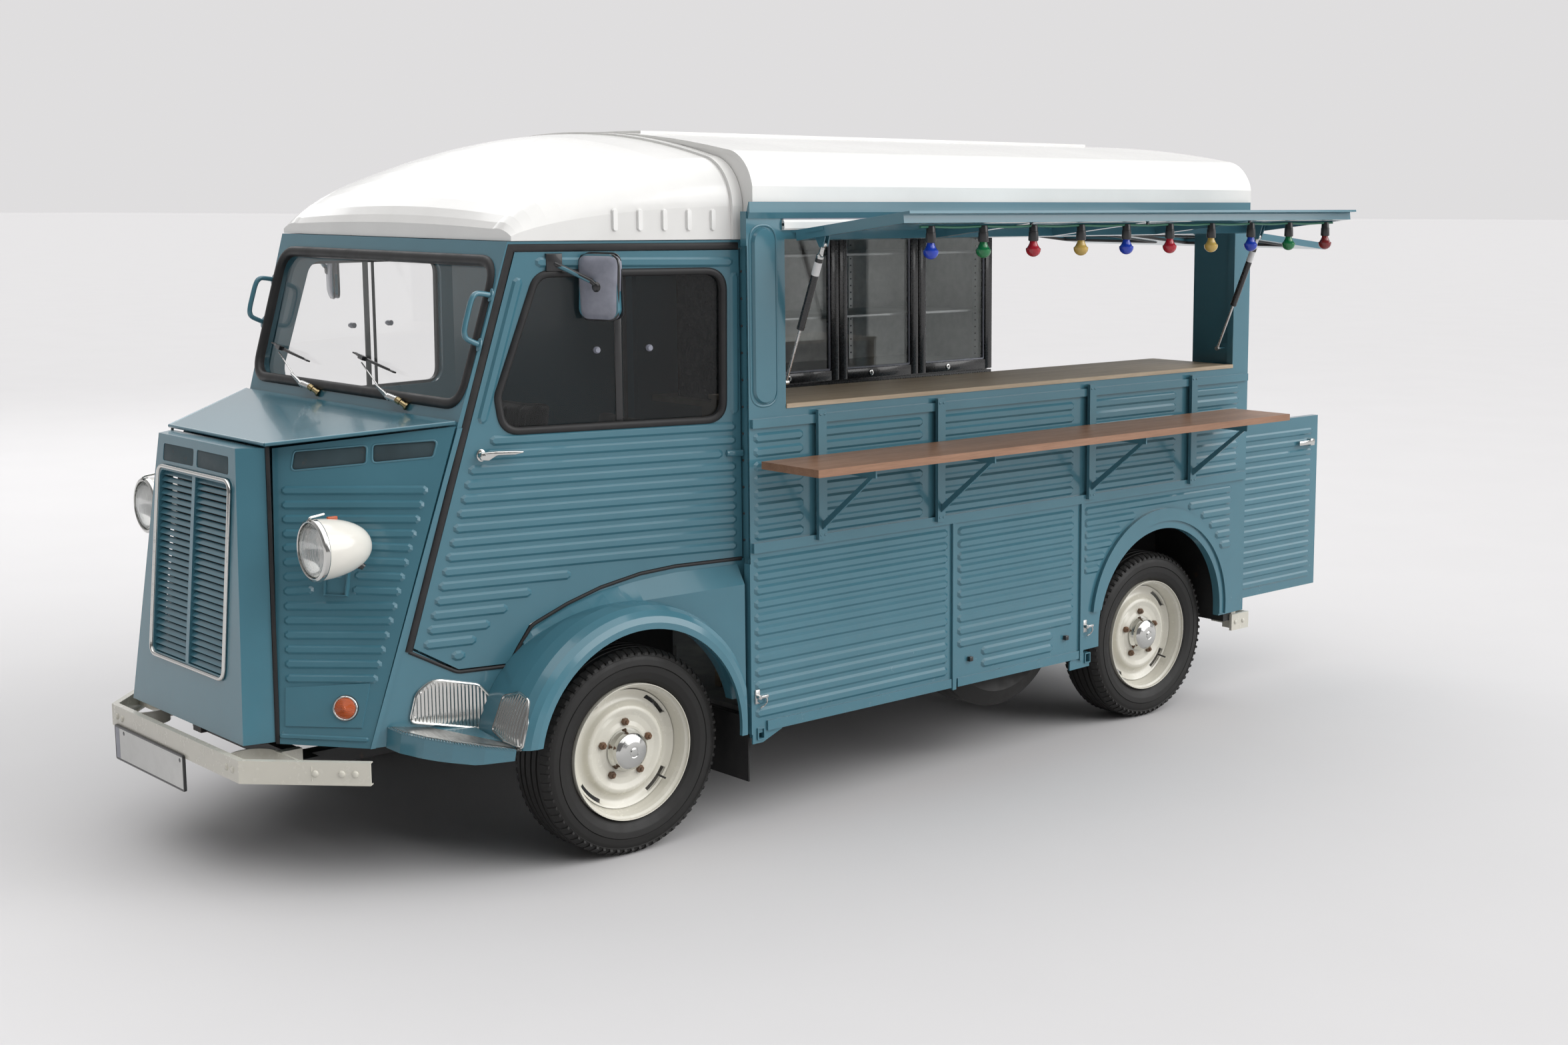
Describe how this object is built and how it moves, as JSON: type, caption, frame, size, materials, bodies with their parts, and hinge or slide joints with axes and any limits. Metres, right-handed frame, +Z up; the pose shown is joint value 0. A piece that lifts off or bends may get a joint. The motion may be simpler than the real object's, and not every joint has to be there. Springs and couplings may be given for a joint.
{
  "type": "panel van",
  "caption": "Forward-control ribbed panel van fitted out for serving, with a raised side hatch, counter shelf, gas struts, steered wheels and opening doors.",
  "frame": {"origin": "on the ground, on the centreline, below the front wheels' axis", "axes": "+X to the van's left, +Y to the rear, +Z up"},
  "size_m": [2.6082, 4.9509, 2.311],
  "materials": {
    "body_blue": "gloss, mid teal blue",
    "roof_white": "gloss, off-white",
    "cream_paint": "gloss, cream",
    "floor_grey": "satin grey, worn",
    "chassis_black": "satin black",
    "chassis_steel": "dull forged steel",
    "engine_iron": "cast",
    "clear_glass": "clear",
    "lamp_glass": "clear and amber",
    "pale_wood": "sealed pale board",
    "shelf_wood": "oiled warm brown board",
    "cooler_black": "satin black",
    "seat_vinyl": "black ribbed",
    "dash_black": "matt",
    "tyre_rubber": "matt",
    "flap_rubber": "matt",
    "bulb_plastic": "coloured",
    "strut_black": "gloss black",
    "strut_steel": "polished"
  },
  "bodies": {
    "body": {"floor_frame": "floor_grey", "chassis_frame": "chassis_black", "wheel_housings": "chassis_black", "engine_block": "engine_iron", "suspension": "chassis_steel", "front_panels": "body_blue", "grille": "body_blue", "cab_shell": "body_blue", "windscreen": "clear_glass", "cab_roof": "roof_white", "body_roof": "roof_white", "side_left": "body_blue", "side_right": "body_blue", "rear_frame": "body_blue", "wings": "body_blue", "bumpers": "cream_paint", "headlamps": "cream_paint", "lamp_lenses": "lamp_glass", "counters": "pale_wood", "cooler": "cooler_black", "shelf": "shelf_wood", "shelf_brackets": "body_blue", "hatch_cassette": "roof_white", "seats": "seat_vinyl", "dashboard": "dash_black", "spare_wheel": "tyre_rubber", "mudflaps": "flap_rubber"},
    "hood": {"hood": "body_blue"},
    "door_left": {"door_left": "body_blue", "door_glass_left": "clear_glass"},
    "door_right": {"door_right": "body_blue", "door_glass_right": "clear_glass"},
    "hatch": {"hatch": "body_blue", "light_string": "bulb_plastic"},
    "strut_cylinders": {"strut_cylinders": "strut_black"},
    "strut_rods": {"strut_rods": "strut_steel"},
    "tailgate": {"tailgate": "body_blue"},
    "rear_door_left": {"rear_door_left": "body_blue"},
    "rear_door_right": {"rear_door_right": "body_blue"},
    "sliding_door": {"sliding_door": "body_blue"},
    "cooler_door_1": {"cooler_door_1": "cooler_black"},
    "cooler_door_2": {"cooler_door_2": "cooler_black"},
    "cooler_door_3": {"cooler_door_3": "cooler_black"},
    "knuckle_left": {"knuckle_left": "engine_iron"},
    "knuckle_right": {"knuckle_right": "engine_iron"},
    "wheel_front_left": {"tyre_front_left": "tyre_rubber", "wheel_front_left": "cream_paint"},
    "wheel_front_right": {"tyre_front_right": "tyre_rubber", "wheel_front_right": "cream_paint"},
    "wheel_rear_left": {"tyre_rear_left": "tyre_rubber", "wheel_rear_left": "cream_paint"},
    "wheel_rear_right": {"tyre_rear_right": "tyre_rubber", "wheel_rear_right": "cream_paint"}
  },
  "joints": [
    {"name": "hood_hinge", "type": "hinge", "parent": "body", "child": "hood", "pos_m": [0, -0.485, 1.41], "axis": [-1, 0, 0], "range_deg": [0, 55]},
    {"name": "door_left_hinge", "type": "hinge", "parent": "body", "child": "door_left", "pos_m": [0.925, 0.436, 1.3], "axis": [0, 0, 1], "range_deg": [0, 75]},
    {"name": "door_right_hinge", "type": "hinge", "parent": "body", "child": "door_right", "pos_m": [-0.925, 0.436, 1.3], "axis": [0, 0, -1], "range_deg": [0, 75]},
    {"name": "hatch_hinge", "type": "hinge", "parent": "body", "child": "hatch", "pos_m": [0.996, 1.735, 1.972], "axis": [0, 1, 0], "range_deg": [0, 97]},
    {"name": "strut_swing", "type": "hinge", "parent": "hatch", "child": "strut_cylinders", "pos_m": [1.125, 1.735, 1.936], "axis": [0, 1, 0], "range_deg": [-118.76, 0.5]},
    {"name": "strut_slide", "type": "slide", "parent": "strut_cylinders", "child": "strut_rods", "axis": [0.3932, 0, 0.9195], "range_m": [-0.001, 0.1307]},
    {"name": "tailgate_hinge", "type": "hinge", "parent": "body", "child": "tailgate", "pos_m": [0, 3.028, 1.962], "axis": [-1, 0, 0], "range_deg": [0, 84]},
    {"name": "rear_door_left_hinge", "type": "hinge", "parent": "body", "child": "rear_door_left", "pos_m": [0.752, 3.015, 0.75], "axis": [0, 0, 1], "range_deg": [0, 90]},
    {"name": "rear_door_right_hinge", "type": "hinge", "parent": "body", "child": "rear_door_right", "pos_m": [-0.752, 3.015, 0.75], "axis": [0, 0, -1], "range_deg": [0, 90]},
    {"name": "sliding_door_slide", "type": "slide", "parent": "body", "child": "sliding_door", "axis": [0, 1, 0], "range_m": [0, 0.7]},
    {"name": "cooler_door_1_hinge", "type": "hinge", "parent": "body", "child": "cooler_door_1", "pos_m": [-0.298, 1.893, 1.7], "axis": [0, 0, 1], "range_deg": [0, 90]},
    {"name": "cooler_door_2_hinge", "type": "hinge", "parent": "body", "child": "cooler_door_2", "pos_m": [-0.298, 2.343, 1.7], "axis": [0, 0, 1], "range_deg": [0, 90]},
    {"name": "cooler_door_3_hinge", "type": "hinge", "parent": "body", "child": "cooler_door_3", "pos_m": [-0.298, 2.793, 1.7], "axis": [0, 0, 1], "range_deg": [0, 90]},
    {"name": "steer_left", "type": "hinge", "parent": "body", "child": "knuckle_left", "pos_m": [0.728, 0, 0.335], "axis": [0, 0, 1], "range_deg": [-32, 32]},
    {"name": "steer_right", "type": "hinge", "parent": "body", "child": "knuckle_right", "pos_m": [-0.728, 0, 0.335], "axis": [0, 0, 1], "range_deg": [-32, 32]},
    {"name": "wheel_front_left_spin", "type": "hinge", "parent": "knuckle_left", "child": "wheel_front_left", "pos_m": [0.812, 0, 0.335], "axis": [1, 0, 0], "continuous": true},
    {"name": "wheel_front_right_spin", "type": "hinge", "parent": "knuckle_right", "child": "wheel_front_right", "pos_m": [-0.812, 0, 0.335], "axis": [1, 0, 0], "continuous": true},
    {"name": "wheel_rear_left_spin", "type": "hinge", "parent": "body", "child": "wheel_rear_left", "pos_m": [0.812, 2.5, 0.335], "axis": [1, 0, 0], "continuous": true},
    {"name": "wheel_rear_right_spin", "type": "hinge", "parent": "body", "child": "wheel_rear_right", "pos_m": [-0.812, 2.5, 0.335], "axis": [1, 0, 0], "continuous": true}
  ],
  "couplings": [
    {"joint": "strut_swing", "follows": "hatch_hinge", "ratio": -1.214},
    {"joint": "strut_slide", "follows": "hatch_hinge", "m_per_rad": 0.076},
    {"joint": "steer_right", "follows": "steer_left", "ratio": 1}
  ]
}
